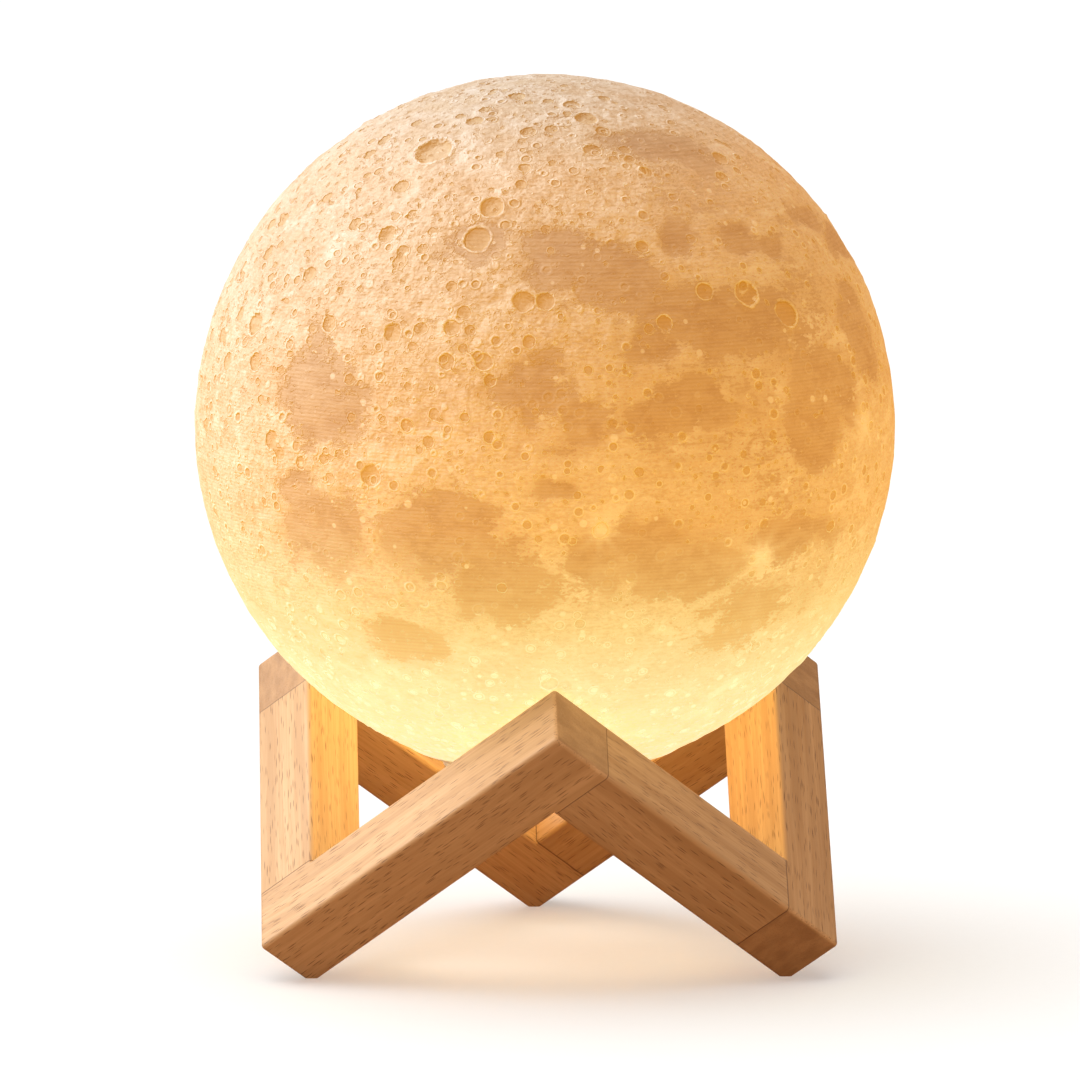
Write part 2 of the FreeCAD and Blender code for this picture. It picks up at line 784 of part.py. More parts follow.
pieces = make_stand()
pieces["moon_shade"] = make_shade()
pieces["shade_collar"] = make_collar()
pieces["module_housing"] = make_housing()
pieces["base_cap"] = make_cap()
pieces["touch_ring"] = make_touch_ring()
pieces["cap_screws"] = make_screws(cap_boss_places(), cap_screw_seat_z, cap_screw_length, False)
pieces["control_board"] = make_control_board()
pieces["control_board_screws"] = make_screws(
    control_boss_places(), board_low_z, board_screw_length, False)
pieces["board_components"] = make_components()
pieces["charging_socket"] = make_socket()
pieces["socket_tongue"] = make_tongue()
pieces["switch_body"] = make_switch()
pieces["battery_cell"] = make_cell()
pieces["battery_protection_board"] = make_protection_board()
pieces["battery_pad"] = make_pad()
pieces["led_board"] = make_led_board()
pieces["led_board_screws"] = make_screws(
    led_screw_places(), led_board_high_z, led_screw_length, True)
pieces["led_emitters"] = make_leds()
pieces["led_diffuser"] = make_diffuser()
pieces["battery_leads"] = make_battery_leads()
pieces["led_leads"] = make_led_leads()
pieces["touch_lead"] = make_touch_lead()
pieces["power_button"] = make_button()
pieces["switch_plunger"] = make_plunger()

os.makedirs("parts", exist_ok=True)
for name, shape in pieces.items():
    shape.exportStep(f"parts/{name}.step")
    print(f"{name}: {len(shape.Solids)} solids, {shape.Volume:.1f} mm3, valid {shape.isValid()}")
print(f"globe centre {globe_z:.3f}, lowest point {pole_z:.3f}, cap face {cap_face_z:.3f}")
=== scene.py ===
"""A moon lamp: a lit, printed globe of the moon that rests on a stand of six beech bars.

The scene is in metres, +Z up, and -Y is the front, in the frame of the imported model. The
numbers of the globe's surface are in millimetres and degrees, and MM turns them into metres.
"""
import json
import math

import bpy
import numpy as np
from mathutils import Matrix, Vector

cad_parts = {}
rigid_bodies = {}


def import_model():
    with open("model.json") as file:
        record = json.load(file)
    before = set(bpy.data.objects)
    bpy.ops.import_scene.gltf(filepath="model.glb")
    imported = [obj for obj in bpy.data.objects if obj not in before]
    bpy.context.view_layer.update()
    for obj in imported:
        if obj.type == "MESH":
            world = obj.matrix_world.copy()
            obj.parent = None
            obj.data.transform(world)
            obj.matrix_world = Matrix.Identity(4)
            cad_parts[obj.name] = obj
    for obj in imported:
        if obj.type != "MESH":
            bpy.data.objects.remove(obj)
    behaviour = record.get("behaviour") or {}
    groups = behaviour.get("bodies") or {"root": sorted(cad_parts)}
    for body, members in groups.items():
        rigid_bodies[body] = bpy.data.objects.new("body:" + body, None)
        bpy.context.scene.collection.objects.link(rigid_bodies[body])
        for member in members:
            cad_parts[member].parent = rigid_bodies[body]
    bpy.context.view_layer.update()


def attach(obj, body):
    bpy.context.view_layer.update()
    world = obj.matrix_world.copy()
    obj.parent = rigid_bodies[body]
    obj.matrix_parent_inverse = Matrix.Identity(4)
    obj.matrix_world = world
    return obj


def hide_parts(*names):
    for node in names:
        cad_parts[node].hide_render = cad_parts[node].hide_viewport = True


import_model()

MM = 0.001
GLOBE_MIDDLE = 114.183            # height of the globe's centre, mm
GLOBE_RADIUS = 75.0               # the plain ball that the relief stays in, mm
GLOBE_INSIDE = 72.4               # radius of the shell's plain inner ball, mm


# ---------------------------------------------------------------- camera
def place_camera():
    """The photograph's viewpoint: far off, a little to the left and a little above."""
    turn, rise, roll = -0.03652, 0.13604, 0.00233        # radians
    away, aim_height, aim_left = 2.11998, 0.089309, 0.000996
    focal_length, sensor_width = 331.15, 36.0            # mm
    back = Vector((math.sin(turn) * math.cos(rise), -math.cos(turn) * math.cos(rise),
                   math.sin(rise)))
    right = (-back).cross(Vector((0, 0, 1))).normalized()
    up = right.cross(-back)
    aim = Vector((0, 0, aim_height)) - right * aim_left
    rolled_right = math.cos(roll) * right + math.sin(roll) * up
    rolled_up = math.cos(roll) * up - math.sin(roll) * right
    camera = bpy.data.objects.new("camera", bpy.data.cameras.new("camera"))
    camera.data.sensor_width = sensor_width
    camera.data.lens = focal_length
    camera.data.clip_end = 60.0
    turned = Matrix((rolled_right, rolled_up, back)).transposed().to_4x4()
    camera.matrix_world = Matrix.Translation(aim + back * away) @ turned
    bpy.context.scene.collection.objects.link(camera)
    bpy.context.scene.camera = camera


place_camera()


# ---------------------------------------------------------------- nodes
class Net:
    """Short calls for adding nodes to a material or to a node group."""

    def __init__(self, tree):
        self.tree = tree

    def add(self, kind, **settings):
        node = self.tree.nodes.new("ShaderNode" + kind)
        for name, value in settings.items():
            setattr(node, name, value)
        return node

    def feed(self, socket, value):
        if isinstance(value, bpy.types.NodeSocket):
            self.tree.links.new(value, socket)
        elif value is not None:
            socket.default_value = value

    def math(self, operation, first, second=None, third=None, clamp=False):
        node = self.add("Math", operation=operation, use_clamp=clamp)
        for socket, value in zip(node.inputs, (first, second, third)):
            self.feed(socket, value)
        return node.outputs[0]

    def vector(self, operation, first, second=None):
        node = self.add("VectorMath", operation=operation)
        self.feed(node.inputs[0], first)
        self.feed(node.inputs[1], second)
        return node.outputs["Value" if operation in ("DOT_PRODUCT", "LENGTH") else "Vector"]

    def join(self, x, y, z):
        node = self.add("CombineXYZ")
        for socket, value in zip(node.inputs, (x, y, z)):
            self.feed(socket, value)
        return node.outputs[0]

    def parts(self, vector):
        node = self.add("SeparateXYZ")
        self.feed(node.inputs[0], vector)
        return node.outputs

    def span(self, value, low, high, to_low=0.0, to_high=1.0, soft=True):
        node = self.add("MapRange", interpolation_type="SMOOTHSTEP" if soft else "LINEAR")
        for name, number in (("Value", value), ("From Min", low), ("From Max", high),
                             ("To Min", to_low), ("To Max", to_high)):
            self.feed(node.inputs[name], number)
        return node.outputs["Result"]

    def blend(self, amount, first, second, kind="MIX"):
        node = self.add("Mix", data_type="RGBA", blend_type=kind)
        self.feed(node.inputs["Factor"], amount)
        for socket, value in zip((node.inputs[6], node.inputs[7]), (first, second)):
            if isinstance(value, tuple) and len(value) == 3:
                value = value + (1.0,)
            self.feed(socket, value)
        return node.outputs[2]

    def tinted(self, colour, tint):
        return self.blend(1.0, colour, tint, "MULTIPLY")

    def noise(self, vector, scale, detail=3.0, rough=0.5, warp=0.0):
        node = self.add("TexNoise")
        self.feed(node.inputs["Vector"], vector)
        for name, number in (("Scale", scale), ("Detail", detail), ("Roughness", rough),
                             ("Distortion", warp)):
            self.feed(node.inputs[name], number)
        return node.outputs["Fac"]

    def cells(self, vector, scale, feature="F1", spread=1.0):
        node = self.add("TexVoronoi", feature=feature)
        self.feed(node.inputs["Vector"], vector)
        self.feed(node.inputs["Scale"], scale)
        self.feed(node.inputs["Randomness"], spread)
        return node

    def ramp(self, value, stops):
        node = self.add("ValToRGB")
        self.feed(node.inputs[0], value)
        points = node.color_ramp.elements
        while len(points) < len(stops):
            points.new(0.5)
        for point, (place, colour) in zip(points, stops):
            point.position = place
            point.color = colour + (1.0,)
        return node.outputs[0]

    def use(self, group, **values):
        node = self.add("Group", node_tree=group)
        for name, value in values.items():
            self.feed(node.inputs[name.replace("_", " ").capitalize()], value)
        return node.outputs


def node_group(name, inputs, outputs):
    """An empty node group, whose sockets are pairs of a name and a kind. It gives a net, what
    comes into the group and what goes out."""
    tree = bpy.data.node_groups.new(name, "ShaderNodeTree")
    for way, sockets in (("INPUT", inputs), ("OUTPUT", outputs)):
        for label, kind in sockets:
            tree.interface.new_socket(name=label, in_out=way, socket_type="NodeSocket" + kind)
    return (Net(tree), tree.nodes.new("NodeGroupInput").outputs,
            tree.nodes.new("NodeGroupOutput").inputs)


def finish(name, **constants):
    """A material with constants set on its Principled shader's own sockets. It gives the
    material, its net, the shader's inputs and the texture coordinates."""
    material = bpy.data.materials.new(name)
    material.use_nodes = True
    shader = material.node_tree.nodes["Principled BSDF"]
    for label, value in constants.items():
        shader.inputs[label.replace("_", " ")].default_value = value
    net = Net(material.node_tree)
    place = net.add("TexCoord").outputs
    return material, net, shader.inputs, place


def bump(net, height, strength, distance, normal=None):
    """A normal raised by a height; the distance is the height of 1, in metres."""
    node = net.add("Bump")
    node.inputs["Strength"].default_value = strength
    node.inputs["Distance"].default_value = distance
    net.feed(node.inputs["Height"], height)
    net.feed(node.inputs["Normal"], normal)
    return node.outputs[0]


# ---------------------------------------------------------------- shared effects
def make_beech_grain():
    """Beech along the first axis: broad bands, fine streaks, short dark flecks, and a height
    that the streaks raise and the flecks lower."""
    net, given, out = node_group(
        "beech grain", [("Place", "Vector"), ("Start", "Vector")],
        [("Band", "Float"), ("Streak", "Float"), ("Fleck", "Float"), ("Height", "Float")])
    place = net.vector("ADD", given["Place"], given["Start"])
    wander = net.noise(place, 14.0, 2.0)
    bent = net.vector("ADD", place, net.join(0.0, net.math("MULTIPLY", wander, 0.006),
                                             net.math("MULTIPLY", wander, -0.004)))
    band = net.noise(net.vector("MULTIPLY", bent, (9.0, 240.0, 240.0)), 1.0, 4.0, 0.6)
    streak = net.noise(net.vector("MULTIPLY", bent, (30.0, 1900.0, 1900.0)), 1.0, 3.0, 0.6)
    fleck_cells = net.cells(net.vector("MULTIPLY", bent, (170.0, 3100.0, 3100.0)), 1.0)
    chosen = net.span(net.parts(fleck_cells.outputs["Color"])[0], 0.15, 0.40)
    fleck = net.math("MULTIPLY", chosen,
                     net.span(fleck_cells.outputs["Distance"], 0.33, 0.14))
    height = net.math("SUBTRACT", net.math("MULTIPLY", streak, 0.5),
                      net.math("MULTIPLY", fleck, 0.7))
    for name, value in (("Band", band), ("Streak", streak), ("Fleck", fleck),
                        ("Height", height)):
        net.feed(out[name], value)
    return net.tree


def make_glue_line():
    """A thin line at two places along a bar, where it meets the bars beside it."""
    net, given, out = node_group(
        "glue line", [("Along", "Float"), ("First", "Float"), ("Second", "Float")],
        [("Line", "Float")])
    first, second = [net.math("ABSOLUTE", net.math("SUBTRACT", given["Along"], given[line]))
                     for line in ("First", "Second")]
    nearest = net.math("MINIMUM", first, second)
    net.feed(out["Line"], net.span(nearest, 0.00035, 0.00005))
    return net.tree


def make_mottle():
    """Uneven tone of two sizes, and a fine grain for bump and gloss."""
    net, given, out = node_group(
        "mottle", [("Place", "Vector"), ("Broad", "Float"), ("Fine", "Float")],
        [("Tone", "Float"), ("Grain", "Float")])
    broad = net.noise(given["Place"], given["Broad"], 3.0, 0.5)
    grain = net.noise(given["Place"], given["Fine"], 2.0, 0.6)
    net.feed(out["Tone"], net.math("ADD", net.math("MULTIPLY", broad, 0.7),
                                   net.math("MULTIPLY", grain, 0.3)))
    net.feed(out["Grain"], grain)
    return net.tree


def make_print_layers():
    """Level printed layers: a line every pitch up the object, a little uneven."""
    net, given, out = node_group(
        "print layers", [("Place", "Vector"), ("Pitch", "Float")],
        [("Line", "Float"), ("Broad", "Float")])
    height = net.parts(given["Place"])[2]
    turns = net.math("DIVIDE", height, given["Pitch"])
    wave = net.math("SINE", net.math("MULTIPLY", turns, 2 * math.pi))
    line = net.math("MULTIPLY_ADD", wave, 0.5, 0.5)
    broad = net.noise(net.join(0.0, 0.0, net.math("MULTIPLY", turns, 0.37)), 1.0, 2.0, 0.7)
    net.feed(out["Line"], line)
    net.feed(out["Broad"], broad)
    return net.tree


def make_pocks():
    """Small round pits, one in each chosen cell: their bowls and their raised rims."""
    net, given, out = node_group(
        "pocks", [("Place", "Vector"), ("Scale", "Float"), ("Share", "Float")],
        [("Bowl", "Float"), ("Rim", "Float")])
    pit = net.cells(given["Place"], given["Scale"])
    colour = net.parts(pit.outputs["Color"])
    kept = net.math("LESS_THAN", colour[0], given["Share"])
    size = net.math("MULTIPLY_ADD", colour[1], 0.22, 0.12)
    reach = net.math("DIVIDE", pit.outputs["Distance"], size)
    net.feed(out["Bowl"], net.math("MULTIPLY", kept, net.span(reach, 0.98, 0.7)))
    rim = net.math("MULTIPLY", net.span(reach, 0.85, 1.05), net.span(reach, 1.45, 1.15))
    net.feed(out["Rim"], net.math("MULTIPLY", kept, rim))
    return net.tree


beech_grain = make_beech_grain()
glue_line = make_glue_line()
mottle = make_mottle()
print_layers = make_print_layers()
pocks = make_pocks()


# ---------------------------------------------------------------- the globe's surface
# Patches of sea: degrees to the right of the front, degrees up, and half the width and
# half the height in degrees.
seas = [
    (-42, 10, 6.7, 7.2), (-42, -12, 7.5, 6), (-46, -6, 5, 3.5), (-19, -11, 7, 6),
    (-11, -18, 7, 7), (-3, 11, 6, 5), (3, 8, 5.5, 4.5), (1, 36, 6, 5),
    (11, 32, 7, 6), (25, 24, 8, 6), (36, 22, 9, 6.5), (17, 20, 5, 3), (47, 7, 6, 8),
    (52, 11, 6, 6), (22, 9, 8, 4), (13, -13, 8, 4), (6, -16, 4, 3), (23, -18, 7, 4),
    (31, 58, 9, 4), (41, 54, 5, 3), (26, 38, 3, 3), (41, 37, 4, 3), (49, 35, 3, 2),
    (71, 38, 7, 3), (79, 32, 6, 3), (67, 18, 5, 7), (45, -14, 8, 4), (0, -3, 3, 2),
    (-16, 37, 4, 3), (-28, -32, 6, 4), (36, -25, 8, 5),
    (104, 12, 12, 8), (118, -12, 9, 10), (138, 30, 14, 7), (160, -4, 9, 8),
    (-172, 10, 7, 5), (-158, -18, 13, 7), (-136, 20, 8, 10), (-118, -10, 10, 6),
    (-98, 18, 7, 9), (-150, 52, 10, 5), (96, -24, 6, 6), (172, 44, 8, 4),
]

# Mottled ground, half sea and half land: the same four numbers.
mottled = [(30, 8, 15, 11), (42, -9, 9, 8), (14, -15, 14, 7), (52, 20, 7, 14),
           (38, -25, 12, 8), (30, 48, 10, 6), (130, 5, 26, 18), (-140, 0, 24, 20)]

# Craters: degrees right, degrees up, radius and depth in mm.
craters = [
    (-36, 56, 4.3, 0.9), (-14, 44, 2.6, 0.6), (-29, 21, 2.1, 0.6), (-36, 38, 2.1, 0.6),
    (-31, 33, 1.7, 0.5), (-31, 35, 1.5, 0.4), (-31, -2, 2.4, 0.6), (-45, -1, 1.5, 0.4),
    (-40, 0, 1.3, 0.3), (-37, 1, 1.1, 0.3), (-52, 2, 2.1, 0.5), (-50, 0, 1.5, 0.4),
    (-72, 38, 1.9, 0.5), (-62, 20, 2.6, 0.6), (-69, 21, 1.7, 0.4), (-69, 13, 2.0, 0.5),
    (-59, 14, 2.1, 0.5), (-6, 27, 2.4, 0.6), (-2, 27, 1.9, 0.5), (-16, 38, 3.0, 0.4),
    (19, 23, 1.7, 0.5), (28, 28, 1.9, 0.5), (37, 27, 2.8, 0.7), (45, 23, 3.0, 0.8),
    (7, -10, 1.7, 0.4), (11, 71, 1.9, 0.4), (14, 66, 2.6, 0.5), (18, 62, 1.7, 0.4),
    (0, 63, 1.5, 0.3), (12, 57, 1.9, 0.4), (22, 57, 1.3, 0.3), (-38, 66, 1.3, 0.3),
    (-42, 77, 1.1, 0.3), (-11, 72, 1.1, 0.3), (-8, 62, 1.7, 0.4), (-15, 56, 1.1, 0.3),
    (-8, 49, 1.3, 0.3), (-25, 19, 1.1, 0.3), (-24, 22, 1.5, 0.4), (-36, 13, 1.3, 0.3),
    (-35, 7, 1.1, 0.3), (-63, 28, 1.1, 0.3), (-55, 33, 0.9, 0.3), (-15, 22, 1.3, 0.3),
    (-2, 40, 1.1, 0.3), (-1, 36, 0.9, 0.3), (-26, 39, 1.1, 0.3), (-32, 42, 1.3, 0.3),
    (-16, 19, 1.1, 0.3), (-15, 8, 1.1, 0.3), (-21, 4, 1.3, 0.3), (-30, 14, 0.9, 0.3),
    (-29, 7, 0.9, 0.3), (-11, 5, 1.3, 0.3),
    (110, 40, 4.2, 0.9), (128, 8, 3.2, 0.8), (152, 52, 2.6, 0.6), (168, 20, 4.8, 1.0),
    (-170, -24, 3.4, 0.8), (-148, 36, 2.8, 0.7), (-126, 4, 4.0, 0.9), (-108, 58, 2.4, 0.6),
    (98, -30, 2.8, 0.7), (-100, -34, 3.2, 0.7), (142, -46, 3.6, 0.8), (-146, -52, 2.6, 0.6),
]

# Bright young craters with rays: degrees right, degrees up, radius of the bright spot, mm.
ray_spots = [(62, 3, 3.4), (37, -16, 2.6), (7, -10, 2.4), (-48, 34, 2.0), (140, 16, 3.0),
             (-160, -40, 3.0), (-112, 30, 2.6)]


def direction(right, up):
    """The unit vector at some degrees right of the front and some degrees up."""
    right, up = np.radians(right), np.radians(up)
    return np.stack([np.cos(up) * np.sin(right), -np.cos(up) * np.cos(right),
                     np.sin(up) * np.ones_like(right)], axis=-1)


def lattice_noise(points, cell, seed):
    """Random values on a cubic lattice, joined smoothly; 0 to 1, with features of one cell."""
    table = np.random.default_rng(seed).random((24, 24, 24))
    spot = points / cell + 1000.0
    corner = np.floor(spot).astype(int)
    part = spot - corner
    part = part * part * (3.0 - 2.0 * part)
    total = 0.0
    for step in np.ndindex(2, 2, 2):
        at = (corner + step) % 24
        weight = np.prod(np.where(step, part, 1.0 - part), axis=-1)
        total = total + weight * table[at[..., 0], at[..., 1], at[..., 2]]
    return total


def smooth_step(value, low, high):
    """0 at low and 1 at high, level at both; low may be the larger one."""
    share = np.clip((value - low) / (high - low), 0.0, 1.0)
    return share * share * (3.0 - 2.0 * share)


def sea_cover(ways):
    """1 in the seas and 0 outside: ellipses whose borders two sizes of noise move in and out,
    the largest one wins; the mottled ground around them reaches four tenths."""
    spots = ways * GLOBE_RADIUS
    bend = np.stack([lattice_noise(spots, 9.0, seed) + 0.6 * lattice_noise(spots, 3.6, seed + 5)
                     for seed in (11, 12, 13)], axis=-1) - 0.8
    bent = ways + 0.06 * bend
    bent /= np.linalg.norm(bent, axis=-1, keepdims=True)
    up = np.degrees(np.arcsin(np.clip(bent[..., 2], -1, 1)))
    right = np.degrees(np.arctan2(bent[..., 0], -bent[..., 1]))
    shore_outside, shore_inside = 1.75, 0.55
    bays = (0.75 * lattice_noise(spots, 8.0, 14) + 0.45 * lattice_noise(spots, 3.0, 15)) - 0.6
    cover = np.zeros(ways.shape[:-1])
    for group, full in ((seas, 1.0), (mottled, 0.42)):
        for middle, height, half_width, half_height in group:
            aside = (right - middle + 180.0) % 360.0 - 180.0
            far = np.hypot(aside * np.cos(np.radians(up)) / half_width,
                           (up - height) / half_height) + bays
            cover = np.maximum(cover, full * smooth_step(far, shore_outside, shore_inside))
    return cover


def rugged_land(ways):
    """How rough the land is, 0.22 to 1: most of all at the upper left and on the far side."""
    upper_left = smooth_step(ways @ direction(-48.0, 42.0), 0.35, 0.8)
    far_side = 0.75 * smooth_step(ways[..., 1], 0.1, 0.5)
    low = 0.45 * smooth_step(ways[..., 2], -0.35, -0.6)
    return np.maximum(np.maximum(upper_left, far_side), np.maximum(low, 0.22))


def scattered_craters(count, seed):
    """Small craters all over, most of them on the rough land between the seas, the larger
    ones placed first and none of them over another."""
    chance = np.random.default_rng(seed)
    up = np.degrees(np.arcsin(chance.uniform(-0.9, 0.995, count)))
    right = chance.uniform(-180.0, 180.0, count)
    radius = 0.55 + 1.45 * np.sort(chance.random(count))[::-1] ** 7
    ways = direction(right, up)
    wanted = chance.random(count) < rugged_land(ways) * (1.0 - 0.85 * sea_cover(ways))
    centres = np.array([direction(r, u) * GLOBE_RADIUS for r, u, _, _ in craters])
    widths = np.array([size for _, _, size, _ in craters])
    placed = []
    for i in np.flatnonzero(wanted):
        spot = ways[i] * GLOBE_RADIUS
        if np.all(np.linalg.norm(centres - spot, axis=-1) > 1.1 * (widths + radius[i])):
            placed.append((right[i], up[i], radius[i], 0.26 * radius[i] ** 0.8))
            centres = np.vstack([centres, spot])
            widths = np.append(widths, radius[i])
    return placed


def moon_relief(ways):
    """Height in mm over the plain surface, and three tones for the finish: how far into a
    sea, how far into a crater (1 in its middle, a half on its rim), and the bright streaks.

    The height is noise of two sizes and sharp ridges on the land, less a step in the seas. A
    crater is a bowl with a flat floor, 1.8 (1 - r^2) cut off at 1, and a lip that is a bell
    curve just outside r = 1, both worn by noise. A bright spot has spokes that fade outwards.
    """
    spots = ways * GLOBE_RADIUS
    sea = sea_cover(ways)
    land = (1.0 - sea) * (0.35 + 0.65 * rugged_land(ways))
    rough = lattice_noise(spots, 5.0, 21) - 0.5
    fine = lattice_noise(spots, 2.1, 22) - 0.5
    crease = 1.0 - np.abs(2.0 * lattice_noise(spots, 7.0, 23) - 1.0)
    ridge = smooth_step(crease, 0.90, 0.99) * smooth_step(lattice_noise(spots, 16.0, 24),
                                                          0.4, 0.65)
    height = 0.20 * rough + land * (0.42 * fine + 0.24 * ridge) - 0.24 * sea
    streak = 0.45 * ridge * land
    crater = np.zeros_like(sea)
    worn = lattice_noise(spots, 1.9, 25)
    for right, up, radius, depth in craters + scattered_craters(3000, 31):
        middle = GLOBE_RADIUS * direction(right, up)
        far = np.linalg.norm(spots - middle, axis=-1) / radius
        near = far < 2.0
        reach = far[near] * (0.87 + 0.26 * worn[near])
        bowl = np.clip(1.8 * (1.0 - reach * reach), 0.0, 1.0)
        lip = np.exp(-((reach - 1.08) / 0.24) ** 2)
        height[near] = (height[near] * (1.0 - 0.6 * bowl) - 0.9 * depth * bowl
                        + 0.84 * depth * lip * worn[near])
        crater[near] = np.maximum(crater[near], 1.0 - 0.5 * reach)
        streak[near] *= 1.0 - bowl
    for right, up, radius in ray_spots:
        offset = spots - GLOBE_RADIUS * direction(right, up)
        far = np.linalg.norm(offset, axis=-1)
        spokes = 0.5 + 0.5 * np.cos(9.0 * np.arctan2(offset[..., 2], offset[..., 0]) + radius)
        glare = np.exp(-(far / radius) ** 2) + 0.6 * spokes ** 2 * np.exp(-far / (1.7 * radius))
        streak = np.maximum(streak, np.clip(glare, 0, 1))
    return height, sea, crater, streak


def closed_surface(name, rings, top, bottom):
    """A closed skin over rings of points; one point closes it at the top and the bottom."""
    ring_count, around = rings.shape[:2]
    points = np.concatenate([rings.reshape(-1, 3), [top, bottom]])
    row = np.arange(ring_count - 1)[:, None] * around
    column = np.arange(around)[None, :]
    following = (column + 1) % around
    quads = np.stack([row + column, row + around + column, row + around + following,
                      row + following], axis=-1).reshape(-1, 4)
    first, last = len(points) - 2, len(points) - 1
    final_row = (ring_count - 1) * around
    column, following = column[0], following[0]
    caps = np.concatenate([
        np.stack([np.full(around, first), column, following], axis=-1),
        np.stack([final_row + following, final_row + column, np.full(around, last)], axis=-1)])
    mesh = bpy.data.meshes.new(name)
    mesh.vertices.add(len(points))
    mesh.vertices.foreach_set("co", (points * MM).ravel())
    mesh.loops.add(quads.size + caps.size)
    mesh.loops.foreach_set("vertex_index", np.concatenate([quads.ravel(), caps.ravel()]))
    mesh.polygons.add(len(quads) + len(caps))
    starts = np.concatenate([np.arange(len(quads)) * 4, quads.size + np.arange(len(caps)) * 3])
    mesh.polygons.foreach_set("loop_start", starts)
    mesh.update(calc_edges=True)
    mesh.validate()
    mesh.polygons.foreach_set("use_smooth", np.ones(len(mesh.polygons), dtype=bool))
    return mesh


def make_moon_shell():
    """The printed shell: latitude by longitude on a ball, pushed in and out by the relief;
    then the stepped hole at the bottom, and the plain inner ball.

    The attribute moon_tones carries four numbers to the finish: how far into a sea, how far
    into a crater, how bright a streak, and how rough the land is.
    """
    columns, outer_rings, inner_rings = 330, 278, 15
    hole_lip, hole, ledge = 27.5, 25.0, 1.2              # radii, and how high the step is, mm
    mean_depth, plain_band = 0.50, 3.5                   # mm under the ball; degrees at the lip
    widest, widest_square = 74.98, 74.66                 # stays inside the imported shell's box
    turn = np.linspace(0.0, 2 * np.pi, columns, endpoint=False)
    right = np.degrees(turn - 0.5 * np.sin(turn))        # closer columns at the front
    lowest = -math.degrees(math.acos(hole_lip / GLOBE_RADIUS))
    up = np.linspace(89.5, lowest, outer_rings)
    ways = direction(*np.meshgrid(right, up))
    height, sea, crater, streak = moon_relief(ways)
    plain = smooth_step(up, lowest, lowest + plain_band)[:, None]
    radius = np.minimum(GLOBE_RADIUS - plain * (mean_depth - height), widest)
    wide = np.maximum(np.abs(ways[..., 0]), np.abs(ways[..., 1]))
    radius = np.minimum(radius, widest_square / np.maximum(wide, 0.9))
    outer = ways * radius[..., None]
    lip_z = -math.sqrt(GLOBE_RADIUS ** 2 - hole_lip ** 2)
    seat_z = lip_z + ledge
    inner_low = -math.degrees(math.acos(hole / GLOBE_INSIDE))
    flat = direction(right, 0.0 * right)
    # the stepped hole, corner by corner with its edges broken: radius and height
    corners = [(hole_lip, lip_z + 0.05), (hole_lip, seat_z - 0.04), (hole_lip - 0.04, seat_z),
               (hole + 0.04, seat_z), (hole, seat_z + 0.04),
               (hole, -math.sqrt(GLOBE_INSIDE ** 2 - hole ** 2) - 0.03)]
    step = np.stack([flat * size + np.array([0, 0, level]) for size, level in corners])
    inner_up = np.linspace(inner_low, 86.0, inner_rings)
    inner = GLOBE_INSIDE * direction(*np.meshgrid(right, inner_up))
    middle = np.array([0.0, 0.0, GLOBE_MIDDLE])
    rings = np.concatenate([outer, step, inner]) + middle
    top = middle + [0, 0, radius[0].mean()]
    mesh = closed_surface("moon_shell", rings, top, middle + [0, 0, GLOBE_INSIDE])
    tones = np.zeros((len(mesh.vertices), 4), dtype=np.float32)
    count = outer_rings * columns
    for channel, tone in enumerate((sea, crater, streak, rugged_land(ways))):
        tones[:count, channel] = tone.ravel()
    mesh.attributes.new("moon_tones", "FLOAT_COLOR", "POINT").data.foreach_set(
        "color", tones.ravel())
    shell = bpy.data.objects.new("moon_shell", mesh)
    bpy.context.scene.collection.objects.link(shell)
    return shell


def ragged_seas(net, sea, patches, specks, clouds):
    """Where the seas show, with ragged borders that two sizes of noise move, and how deep
    their tone is."""
    ragged = net.math("ADD", sea, net.math("MULTIPLY_ADD", patches, 2.4, -1.2))
    ragged = net.math("ADD", ragged, net.math("MULTIPLY_ADD", specks, 2.0, -1.0))
    shown = net.span(ragged, 0.25, 0.70)
    return shown, net.math("MULTIPLY", shown, net.span(clouds, 0.35, 0.6, 0.75, 1.0))


def crater_marks(net, crater, patches, specks):
    """The floor, the broken rim and the wall of the modelled craters, as masks: the finish
    darkens the floor and wall with their own ochre and painted shade, and lightens the rim with
    a painted highlight.
    """
    wobble = net.math("ADD", crater, net.math("MULTIPLY_ADD", specks, 0.14, -0.07))
    floor = net.span(wobble, 0.50, 0.58)
    rim = net.math("MULTIPLY", net.span(wobble, 0.40, 0.46), net.span(wobble, 0.55, 0.49))
    rim = net.math("MULTIPLY", rim, net.span(patches, 0.38, 0.58, 0.2, 1.0))
    wall = net.math("MULTIPLY", floor, net.span(wobble, 0.70, 0.54))
    return floor, rim, wall


def small_pits(net, here, land):
    """Pits of two sizes, too small to model, their rims, and separate bright glints: masks for
    the bump, and for painted shade in the pits, painted highlights on their rims and painted
    glints.
    """
    small = net.use(pocks, place=here, scale=290.0, share=0.6)
    tiny = net.use(pocks, place=here, scale=620.0, share=0.5)
    glints = net.use(pocks, place=net.vector("ADD", here, (0.31, 0.17, 0.23)), scale=330.0,
                     share=0.2)
    worn = net.math("MULTIPLY_ADD", land, 0.75, 0.25)
    pit, edge = [net.math("MULTIPLY", worn, net.math("MULTIPLY_ADD", tiny[mark], 0.6,
                                                     small[mark]), clamp=True)
                 for mark in ("Bowl", "Rim")]
    return pit, edge, glints["Bowl"]


